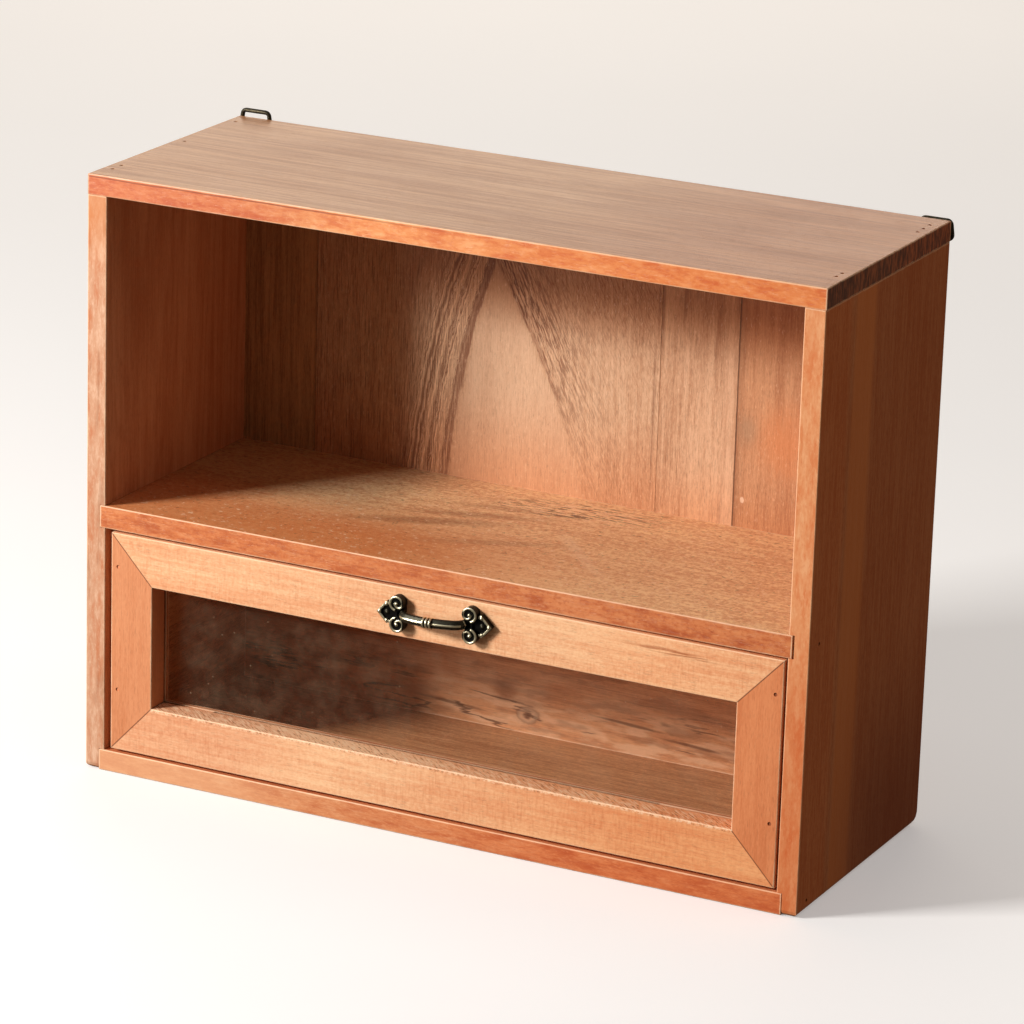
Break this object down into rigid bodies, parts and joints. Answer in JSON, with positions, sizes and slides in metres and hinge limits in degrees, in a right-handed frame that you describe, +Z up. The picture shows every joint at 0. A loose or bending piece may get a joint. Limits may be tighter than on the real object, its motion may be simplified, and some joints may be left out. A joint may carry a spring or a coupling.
{
  "type": "tabletop cabinet",
  "caption": "Small table-top cabinet with an open shelf above a glass-fronted drawer that slides out, a cast bow handle, and ring hangers on its back.",
  "frame": {"origin": "middle of the underside, on the plane that the cabinet stands on", "axes": "+X to the right of someone who faces the drawer, +Y to the back, +Z up"},
  "size_m": [0.4022, 0.168, 0.3179],
  "materials": {
    "carcass_wood": "stained and waxed, worn pale on the edges",
    "top_wood": "stained and waxed, with fine grain along the length",
    "shelf_wood": "stained, lightly fuzzy from planing",
    "back_wood": "stained, with a bold upright figure",
    "front_wood": "stained and waxed, peach to orange",
    "bead_wood": "stained",
    "drawer_wood": "stained, matte inside",
    "glass": "clear float glass with a little dust",
    "antique_bronze": "antique bronze, rubbed pale on the high edges",
    "hanger_metal": "antique bronze plating",
    "brad_steel": "dark steel, set below the surface",
    "screw_steel": "antique bronze plated steel"
  },
  "bodies": {
    "cabinet": {"left_side": "carcass_wood", "right_side": "carcass_wood", "top_panel": "top_wood", "middle_shelf": "shelf_wood", "bottom_board": "carcass_wood", "back_board_1": "back_wood", "back_board_2": "back_wood", "back_board_3": "back_wood", "back_board_4": "back_wood", "top_brads": "brad_steel", "end_brads": "brad_steel", "back_brads": "brad_steel", "left_hanger": "hanger_metal", "right_hanger": "hanger_metal", "hanger_screws": "screw_steel"},
    "drawer": {"drawer_top_rail": "front_wood", "drawer_bottom_rail": "front_wood", "drawer_left_stile": "front_wood", "drawer_right_stile": "front_wood", "glass_pane": "glass", "bead_top": "bead_wood", "bead_bottom": "bead_wood", "bead_left": "bead_wood", "bead_right": "bead_wood", "drawer_left_side": "drawer_wood", "drawer_right_side": "drawer_wood", "drawer_back": "drawer_wood", "drawer_bottom": "drawer_wood", "front_brads": "brad_steel", "drawer_back_brads": "brad_steel", "panel_pins": "brad_steel", "handle": "antique_bronze", "handle_pins": "antique_bronze"},
    "left_ring": {"left_ring": "hanger_metal"},
    "right_ring": {"right_ring": "hanger_metal"}
  },
  "joints": [
    {"name": "drawer_slide", "type": "slide", "parent": "cabinet", "child": "drawer", "axis": [0, -1, 0], "range_m": [0, 0.105]},
    {"name": "left_ring_tilt", "type": "hinge", "parent": "cabinet", "child": "left_ring", "pos_m": [-0.1915, 0.07773, 0.3076], "axis": [-1, 0, 0], "range_deg": [-6, 170.5]},
    {"name": "right_ring_tilt", "type": "hinge", "parent": "cabinet", "child": "right_ring", "pos_m": [0.1915, 0.07773, 0.304], "axis": [-1, 0, 0], "range_deg": [-4.5, 170.5]}
  ]
}
